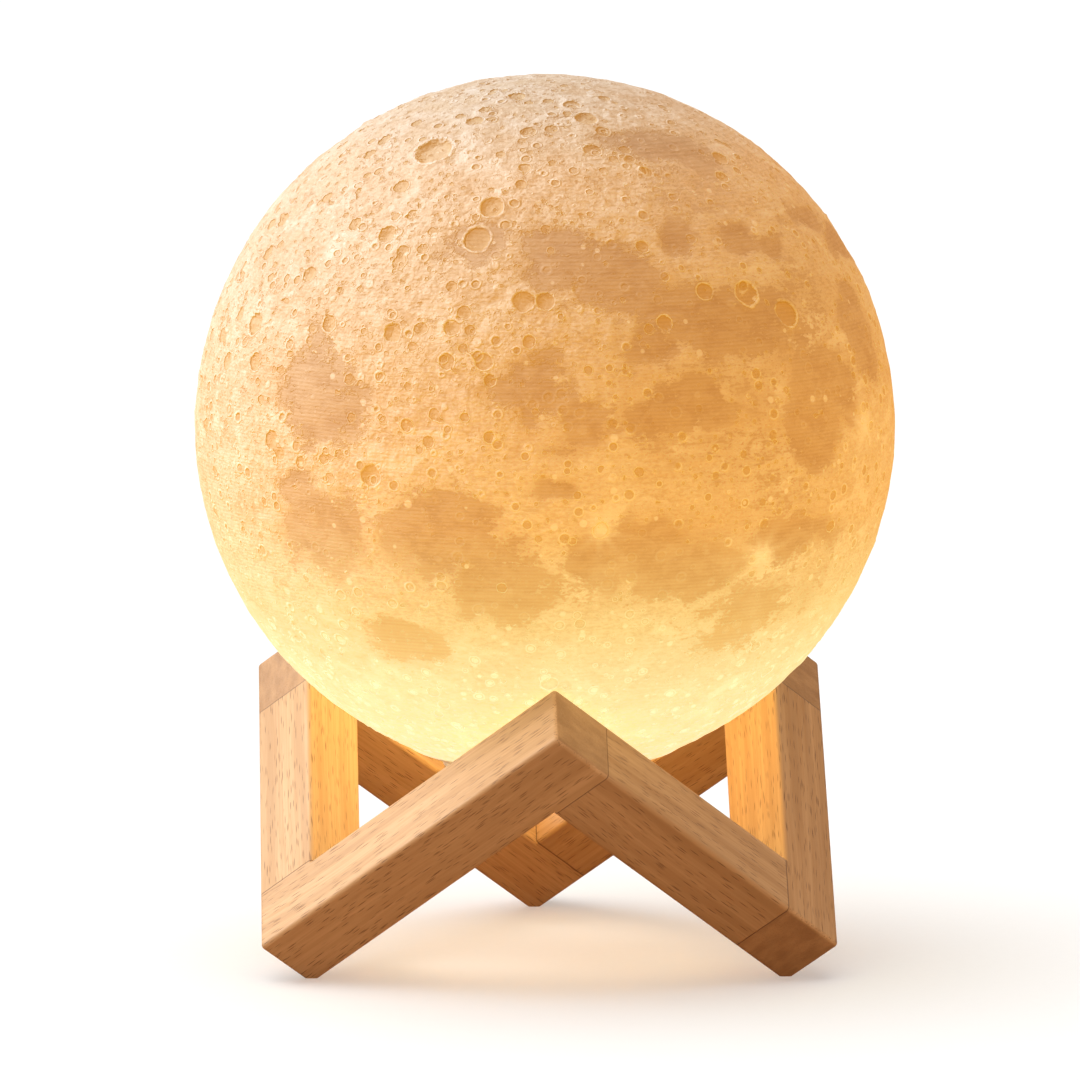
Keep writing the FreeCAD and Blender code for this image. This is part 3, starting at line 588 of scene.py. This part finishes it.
def lamp_glow(net, level):
    """The light through the shell: nearly white at the bottom, amber from the middle up."""
    globe_bottom, globe_top = 0.0392, 0.1892
    return net.ramp(net.span(level, globe_bottom, globe_top, soft=False), [
        (0.0, (0.96, 0.85, 0.50)), (0.16, (0.92, 0.78, 0.36)), (0.27, (0.88, 0.60, 0.18)),
        (0.41, (0.86, 0.415, 0.05)), (0.55, (0.78, 0.34, 0.014)), (0.74, (0.66, 0.275, 0.0)),
        (0.88, (0.62, 0.255, 0.0)), (1.0, (0.42, 0.17, 0.0))])


def make_moon_finish():
    """Lit filament: pale land, tan seas, ochre crater floors darkened further by painted shade,
    painted highlights on their thin rims, print lines, and the lamp's own light, strongest at
    the bottom. One tone serves for the lamp's light and for the light that falls on the shell."""
    material, net, shader, place = finish(
        "printed shade", Roughness=0.62, Specular_IOR_Level=0.2, Emission_Strength=1.0)
    here = place["Object"]
    tones = net.add("Attribute", attribute_name="moon_tones").outputs
    split = net.add("SeparateColor")
    net.feed(split.inputs[0], tones["Color"])
    sea, crater, streak = split.outputs[0], split.outputs[1], split.outputs[2]
    rugged = tones["Alpha"]
    layers = net.use(print_layers, place=here, pitch=0.00077)
    level = net.parts(here)[2]
    low = net.span(level, 0.100, 0.066)

    # the noise that the marks share; all but the clouds are drawn out along the layers
    stretched = net.vector("MULTIPLY", here, (1.0, 1.0, 2.0))
    patches = net.noise(stretched, 190.0, 5.0, 0.68, 0.5)
    specks = net.noise(stretched, 900.0, 3.0, 0.7)
    clouds = net.noise(here, 45.0, 3.0, 0.6, 0.6)
    drifts = net.noise(net.vector("MULTIPLY", here, (1.0, 1.0, 1.7)), 70.0, 5.0, 0.65, 0.8)

    shown, deep = ragged_seas(net, sea, patches, specks, clouds)
    land = net.math("SUBTRACT", 1.0, shown)
    floor, rim, wall = crater_marks(net, crater, patches, specks)
    pit, edge, glints = small_pits(net, here, land)

    # painted shade in the upper half: crater floors, partly their own ochre, walls and pits
    # darkened; low down the pits are bright
    darker = net.math("MULTIPLY_ADD", wall, 0.35, net.math("MULTIPLY", floor, 0.75))
    darker = net.math("ADD", darker, net.math("MULTIPLY", pit, 0.9), clamp=True)
    darker = net.math("MULTIPLY", darker, net.math("MULTIPLY_ADD", low, -0.85, 1.0))
    # painted highlights: crater rims, pit edges and glints lightened, on top of the bright
    # streaks and rays of the surface itself
    lighter = net.math("ADD", net.math("MULTIPLY", rim, 0.9), streak)
    lighter = net.math("MULTIPLY_ADD", net.math("MULTIPLY", pit, low), 0.8, lighter)
    lighter = net.math("MULTIPLY_ADD", edge, 0.6, lighter, clamp=True)
    lighter = net.math("MULTIPLY_ADD", glints, 0.7, lighter, clamp=True)

    # the tone: the land's unevenness first, then the seas, the craters with their painted shade
    # and highlights, and the print lines
    tone = net.blend(net.span(specks, 0.36, 0.62), (0.92, 0.89, 0.83), (1.07, 1.10, 1.15))
    for noise, start, stop, tint in ((patches, 0.36, 0.60, (0.94, 0.89, 0.82)),
                                     (clouds, 0.36, 0.62, (0.95, 0.90, 0.84)),
                                     (drifts, 0.42, 0.60, (0.98, 0.95, 0.90))):
        tone = net.blend(net.span(noise, start, stop), net.tinted(tone, tint), tone)
    tone = net.blend(net.span(drifts, 0.55, 0.67, 0.0, 0.6), tone, (1.09, 1.14, 1.20))
    tone = net.blend(net.math("MULTIPLY", low, 0.45), tone, (0.98, 0.94, 0.90))
    sea_tone = net.blend(net.span(patches, 0.38, 0.58), (0.70, 0.55, 0.41), (0.78, 0.65, 0.51))
    sea_tone = net.blend(low, sea_tone, (0.90, 0.71, 0.50))
    for mark, share, colour in ((deep, 0.95, sea_tone), (darker, 0.82, (0.80, 0.63, 0.37)),
                                (lighter, 0.9, (1.12, 1.20, 1.32))):
        tone = net.blend(net.math("MULTIPLY", mark, share), tone, colour)
    line_depth = net.math("MULTIPLY", layers["Line"], net.span(layers["Broad"], 0.3, 0.6))
    lined_share = net.math("MULTIPLY_ADD", shown, 0.17, 0.07)
    tone = net.blend(net.math("MULTIPLY", line_depth, lined_share), tone,
                     net.tinted(tone, (0.74, 0.64, 0.52)))
    net.feed(shader["Base Color"], net.tinted(tone, (0.41, 0.50, 0.53)))
    net.feed(shader["Emission Color"], net.tinted(tone, lamp_glow(net, level)))

    # the bump: noise, lumps on the rough land, and the marks
    lumps = net.noise(here, 520.0, 2.0, 0.55, 0.3)
    lump_height = net.math("MULTIPLY", net.math("MULTIPLY", land, rugged), 0.34)
    relief = net.math("MULTIPLY", specks, 0.10)
    for mark, height in ((patches, 0.16), (lumps, lump_height), (pit, -0.22), (edge, 0.12),
                         (floor, -0.20), (rim, 0.18)):
        relief = net.math("MULTIPLY_ADD", mark, height, relief)
    lined = bump(net, layers["Line"], 0.5, 0.00006)
    net.feed(shader["Normal"], bump(net, relief, 1.0, 0.0019, lined))
    return material


moon_shell = make_moon_shell()
moon_shell.data.materials.append(make_moon_finish())
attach(moon_shell, "globe")
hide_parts("moon_shade")


# ---------------------------------------------------------------- the stand's beech
# The bars lie along the edges of a cube that stands on its corner: that corner, and the ways
# of the three edges that meet there.
cube_corner = Vector((0.0, 0.0, -0.04252))
cube_ways = [Vector((math.cos(math.radians(turn)) * math.sqrt(2 / 3),
                     math.sin(math.radians(turn)) * math.sqrt(2 / 3), 1 / math.sqrt(3)))
             for turn in (210.0, 330.0, 90.0)]


def make_beech(name, along, ends, start, light, warmth):
    """Beech whose grain runs along one edge of the cube. ends are the places of its two glue
    lines, in mm from the cube's corner, start shifts its grain, light is its lightness, and
    warmth, 0 to 1, reddens it."""
    material, net, shader, place = finish("beech " + name, Roughness=0.5,
                                          Specular_IOR_Level=0.35)
    # the pattern turned into the cube's frame, with its first axis along the bar
    rows = [cube_ways[(along + step) % 3] for step in range(3)]
    turned = Matrix(rows)
    mapping = net.add("Mapping")
    net.feed(mapping.inputs["Vector"], place["Object"])
    mapping.inputs["Location"].default_value = -(turned @ cube_corner)
    mapping.inputs["Rotation"].default_value = turned.to_euler()
    here = mapping.outputs[0]
    wood = net.use(beech_grain, place=here, start=start)
    line = net.use(glue_line, along=net.parts(here)[0], first=ends[0] * MM,
                   second=ends[1] * MM)["Line"]
    face = net.math("ABSOLUTE", net.vector("DOT_PRODUCT", place["Normal"], tuple(rows[0])))
    end_face = net.span(face, 0.75, 0.95)
    pale, dark, streaked, flecked = [
        tuple(light * part for part in colour) for colour in (
            (0.64, 0.41, 0.215), (0.50, 0.30, 0.142), (0.50, 0.29, 0.137), (0.21, 0.105, 0.045))]
    colour = net.blend(net.span(wood["Band"], 0.32, 0.66), dark, pale)
    colour = net.blend(net.span(wood["Streak"], 0.42, 0.62, 0.0, 0.5), colour, streaked)
    colour = net.blend(net.math("MULTIPLY", wood["Fleck"], 0.95), colour, flecked)
    rings = net.noise(net.vector("MULTIPLY", here, (1.0, 260.0, 90.0)), 1.0, 3.0, 0.6)
    cut_ends = net.blend(net.span(rings, 0.35, 0.65), (0.34, 0.185, 0.08), (0.47, 0.275, 0.13))
    colour = net.blend(net.math("MULTIPLY", end_face, 0.75), colour, cut_ends)
    colour = net.blend(net.math("MULTIPLY", line, 0.8), colour, (0.12, 0.06, 0.03))
    colour = net.blend(warmth, colour, net.tinted(colour, (1.06, 0.94, 0.82)))
    net.feed(shader["Base Color"], colour)
    net.feed(shader["Roughness"], net.span(wood["Streak"], 0.3, 0.8, 0.42, 0.6))
    height = net.math("SUBTRACT", wood["Height"], net.math("MULTIPLY", line, 2.0))
    net.feed(shader["Normal"], bump(net, height, 0.5, 0.00015))
    return material


def dress(node, material):
    """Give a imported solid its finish."""
    solid = bpy.data.objects[node]
    if not solid.material_slots:
        solid.data.materials.append(material)
    for slot in solid.material_slots:
        slot.material = material


# A glue line at -50 or 200 mm lies beyond the bar's ends, so the bar hasn't got it.
for bar, along, ends, start, light, warmth in (
        ("bar_front_left", 1, (0.0, 200.0), (0.31, 0.02, 0.05), 1.03, 0.2),
        ("bar_front_right", 0, (15.5, 71.0), (0.12, 0.07, 0.01), 0.92, 0.5),
        ("bar_right", 2, (-50.0, 71.0), (0.55, 0.04, 0.09), 0.90, 0.7),
        ("bar_back_right", 1, (15.5, 200.0), (0.77, 0.09, 0.03), 0.98, 0.4),
        ("bar_back_left", 0, (-50.0, 200.0), (0.93, 0.01, 0.08), 1.0, 0.3),
        ("bar_left", 2, (15.5, 71.0), (0.24, 0.06, 0.04), 1.05, 0.1)):
    dress(bar, make_beech(bar, along, ends, start, light, warmth))
dress("corner_dowels", make_beech("dowels", 0, (-50.0, 200.0), (0.41, 0.11, 0.02), 0.95, 0.3))


# ---------------------------------------------------------------- the light module
def moulded(name, colour, rough, grain=0.35, glow=None):
    """Moulded plastic: faintly uneven colour, and a spark-eroded grain; glow is the light that
    comes through it."""
    constants = {"Emission_Strength": 1.0} if glow else {}
    material, net, shader, place = finish(name, **constants)
    spots = net.use(mottle, place=place["Object"], broad=60.0, fine=2600.0)
    tone = net.span(spots["Tone"], 0.3, 0.7)
    net.feed(shader["Base Color"], net.blend(tone, tuple(0.86 * part for part in colour),
                                             colour))
    net.feed(shader["Roughness"], net.span(spots["Grain"], 0.2, 0.8, rough - 0.06,
                                           rough + 0.08))
    if glow:
        net.feed(shader["Emission Color"], net.blend(tone, tuple(0.92 * part for part in glow),
                                                     glow))
    net.feed(shader["Normal"], bump(net, spots["Grain"], grain, 0.00003))
    return material


def plated(name, colour, rough, scratch=1.0):
    """Bright or dull metal with fine turned scratches round the vertical axis."""
    material, net, shader, place = finish(name, Metallic=1.0)
    x, y, z = net.parts(place["Object"])
    out = net.vector("LENGTH", net.join(x, y, 0.0))
    marks = net.noise(net.join(net.math("MULTIPLY", out, 5200.0),
                               net.math("MULTIPLY", z, 5200.0), 0.0), 1.0, 2.0, 0.7)
    spots = net.use(mottle, place=place["Object"], broad=120.0, fine=1800.0)
    net.feed(shader["Base Color"], net.blend(net.span(marks, 0.3, 0.7),
                                             tuple(0.88 * part for part in colour), colour))
    net.feed(shader["Roughness"], net.math("MULTIPLY_ADD", spots["Tone"], 0.12,
                                           net.math("MULTIPLY_ADD", marks, 0.08, rough - 0.08)))
    net.feed(shader["Normal"], bump(net, marks, 0.25 * scratch, 0.00002))
    return material


def laminate(name, colour, track):
    """A circuit board's solder mask over its woven glass and its copper tracks."""
    material, net, shader, place = finish(name, Specular_IOR_Level=0.5)
    x, y, _ = net.parts(place["Object"])
    weave = net.math("MULTIPLY", net.math("SINE", net.math("MULTIPLY", x, 9000.0)),
                     net.math("SINE", net.math("MULTIPLY", y, 9000.0)))
    tracks = net.cells(place["Object"], 420.0, "DISTANCE_TO_EDGE", 0.25)
    path = net.span(tracks.outputs["Distance"], 0.10, 0.06)
    spots = net.use(mottle, place=place["Object"], broad=90.0, fine=2200.0)
    net.feed(shader["Base Color"], net.blend(net.math("MULTIPLY", path, 0.7), colour, track))
    net.feed(shader["Roughness"], net.span(spots["Tone"], 0.3, 0.7, 0.28, 0.42))
    net.feed(shader["Normal"], bump(net, net.math("MULTIPLY_ADD", weave, 0.15, path), 0.4,
                                    0.00003))
    return material


def foil_wrap():
    """The cell's crinkled foil pouch."""
    material, net, shader, place = finish("cell foil")
    folds = net.noise(place["Object"], 420.0, 4.0, 0.6, 0.8)
    spots = net.use(mottle, place=place["Object"], broad=150.0, fine=1500.0)
    net.feed(shader["Base Color"], net.blend(net.span(folds, 0.3, 0.7), (0.50, 0.51, 0.53),
                                             (0.72, 0.73, 0.75)))
    net.feed(shader["Metallic"], net.span(spots["Tone"], 0.3, 0.7, 0.75, 0.95))
    net.feed(shader["Roughness"], net.span(folds, 0.3, 0.7, 0.28, 0.48))
    net.feed(shader["Normal"], bump(net, folds, 0.6, 0.0002))
    return material


def foam():
    """Closed-cell foam tape."""
    material, net, shader, place = finish("foam tape", Roughness=0.9)
    bubbles = net.cells(place["Object"], 2200.0)
    net.feed(shader["Base Color"], net.blend(net.span(bubbles.outputs["Distance"], 0.1, 0.6),
                                             (0.30, 0.30, 0.31), (0.48, 0.48, 0.49)))
    net.feed(shader["Normal"], bump(net, bubbles.outputs["Distance"], 0.6, 0.0001))
    return material


def sleeved(name, colour):
    """A lead's plastic sleeve, smooth and slightly waxy."""
    material, net, shader, place = finish(name, Coat_Weight=0.15)
    spots = net.use(mottle, place=place["Object"], broad=200.0, fine=3000.0)
    net.feed(shader["Base Color"], net.blend(net.span(spots["Tone"], 0.3, 0.7),
                                             tuple(0.8 * part for part in colour), colour))
    net.feed(shader["Roughness"], net.span(spots["Grain"], 0.3, 0.7, 0.38, 0.5))
    net.feed(shader["Normal"], bump(net, spots["Grain"], 0.2, 0.00002))
    return material


lit_plastic = moulded("lit white plastic", (0.80, 0.78, 0.72), 0.45,
                      glow=(0.22, 0.15, 0.07))
button_plastic = moulded("button plastic", (0.72, 0.71, 0.69), 0.3, 0.2)
component_black = moulded("component black", (0.035, 0.035, 0.038), 0.4, 0.5)
chrome = plated("touch ring chrome", (0.78, 0.78, 0.79), 0.14, 0.6)
screw_steel = plated("screw steel", (0.56, 0.56, 0.58), 0.3)
socket_steel = plated("socket steel", (0.66, 0.66, 0.67), 0.26)
green_board = laminate("board laminate", (0.02, 0.16, 0.07), (0.05, 0.30, 0.12))
white_board = laminate("led board white", (0.78, 0.78, 0.76), (0.66, 0.66, 0.64))
led_package = moulded("led package", (0.85, 0.72, 0.35), 0.35, 0.2, glow=(1.0, 0.80, 0.42))
frosted_cover = moulded("frosted cover", (0.85, 0.82, 0.74), 0.55, 0.4,
                        glow=(0.95, 0.72, 0.40))
red_lead = sleeved("red lead", (0.55, 0.02, 0.02))
white_lead = sleeved("white lead", (0.75, 0.75, 0.72))

for node, material in (
        ("shade_collar", lit_plastic), ("module_housing", lit_plastic),
        ("base_cap", lit_plastic), ("touch_ring", chrome), ("cap_screws", screw_steel),
        ("control_board", green_board), ("control_board_screws", screw_steel),
        ("board_components", component_black), ("charging_socket", socket_steel),
        ("socket_tongue", component_black), ("switch_body", component_black),
        ("battery_cell", foil_wrap()), ("battery_protection_board", green_board),
        ("battery_pad", foam()), ("led_board", white_board), ("led_board_screws", screw_steel),
        ("led_emitters", led_package), ("led_diffuser", frosted_cover),
        ("battery_leads", red_lead), ("led_leads", white_lead), ("touch_lead", white_lead),
        ("power_button", button_plastic), ("switch_plunger", button_plastic)):
    dress(node, material)


# ---------------------------------------------------------------- floor and light
def make_floor():
    """A wide pale floor. The camera alone sees its pale colour and its faint light, which
    keeps the shadows soft; what it throws back at the lamp is darker and warmer."""
    half = 9.0
    mesh = bpy.data.meshes.new("studio_floor")
    mesh.from_pydata([(-half, -half, 0), (half, -half, 0), (half, half, 0), (-half, half, 0)],
                     [], [(0, 1, 2, 3)])
    floor = bpy.data.objects.new("studio_floor", mesh)
    bpy.context.scene.collection.objects.link(floor)
    material, net, shader, place = finish("white paper", Roughness=0.85,
                                          Specular_IOR_Level=0.1)
    seen = net.add("LightPath").outputs["Is Camera Ray"]
    spots = net.use(mottle, place=place["Object"], broad=3.0, fine=400.0)
    paper = net.blend(net.span(spots["Tone"], 0.3, 0.7), (0.71, 0.71, 0.71),
                      (0.73, 0.73, 0.73))
    net.feed(shader["Base Color"], net.blend(seen, (0.46, 0.27, 0.15), paper))
    shader["Emission Color"].default_value = (1.0, 0.995, 0.99, 1.0)
    net.feed(shader["Emission Strength"], net.math("MULTIPLY", seen, 0.268))
    mesh.materials.append(material)
    return floor


def light_up(name, kind, energy, colour, way=None, place=(0, 0, 0), **settings):
    """Add one light; way is the direction that it comes from."""
    light = bpy.data.objects.new(name, bpy.data.lights.new(name, kind))
    light.data.energy = energy
    light.data.color = colour
    for label, value in settings.items():
        setattr(light.data, label, value)
    if way:
        light.rotation_euler = Vector(way).to_track_quat("Z", "Y").to_euler()
    light.location = place
    bpy.context.scene.collection.objects.link(light)
    return light


def only_on(light, lit):
    """Let a light fall on these objects alone."""
    group = bpy.data.collections.new("lit by " + light.name)
    for item in lit:
        group.objects.link(item)
    light.light_linking.receiver_collection = group


def make_lights(floor):
    """A broad white key from the upper left on the lamp, soft light from overhead on the
    floor, a warm bounce from the front on the bars, and the globe's own light on the floor
    and on the bars, without a shadow."""
    bars = [item for item in bpy.data.objects if item.name.startswith("bar_")]
    lamp = [item for item in bpy.data.objects if item.type == "MESH" and item is not floor]
    only_on(light_up("key", "SUN", 3.75, (1.0, 0.99, 0.98), (-0.78, 0.16, 0.61),
                     angle=math.radians(50.0)), lamp)
    only_on(light_up("overhead", "SUN", 2.58, (1.0, 1.0, 1.0), (-0.24, 0.06, 0.97),
                     angle=math.radians(66.0)), [floor])
    only_on(light_up("bounce", "SUN", 2.35, (1.0, 0.76, 0.53), (0.42, -0.89, 0.15),
                     angle=math.radians(120.0)), bars)
    only_on(light_up("pool", "AREA", 0.029, (1.0, 0.66, 0.36), (0, 0, 1), (0, 0, 0.052),
                     shape="DISK", size=0.04, use_shadow=False), [floor])
    only_on(light_up("globe light", "POINT", 0.108, (1.0, 0.66, 0.20), None, (0, 0, 0.062),
                     shadow_soft_size=0.004, use_shadow=False), bars)


def make_room():
    """A pale grey room, brighter behind and above, which the camera alone sees as white."""
    world = bpy.data.worlds.new("studio")
    world.use_nodes = True
    bpy.context.scene.world = world
    net = Net(world.node_tree)
    part = net.parts(net.add("TexCoord").outputs["Generated"])
    room = net.math("ADD", net.span(part[1], -0.3, 1.0, 0.2, 0.36),
                    net.span(part[2], 0.0, 1.0, 0.0, 0.14))
    colour = net.join(room, room, room)
    seen = net.add("LightPath").outputs["Is Camera Ray"]
    shade = world.node_tree.nodes["Background"].inputs
    net.feed(shade["Color"], net.blend(seen, colour, (1.0, 1.0, 1.0)))


make_lights(make_floor())
make_room()
view = bpy.context.scene.view_settings
view.view_transform = "Standard"
view.look = "None"
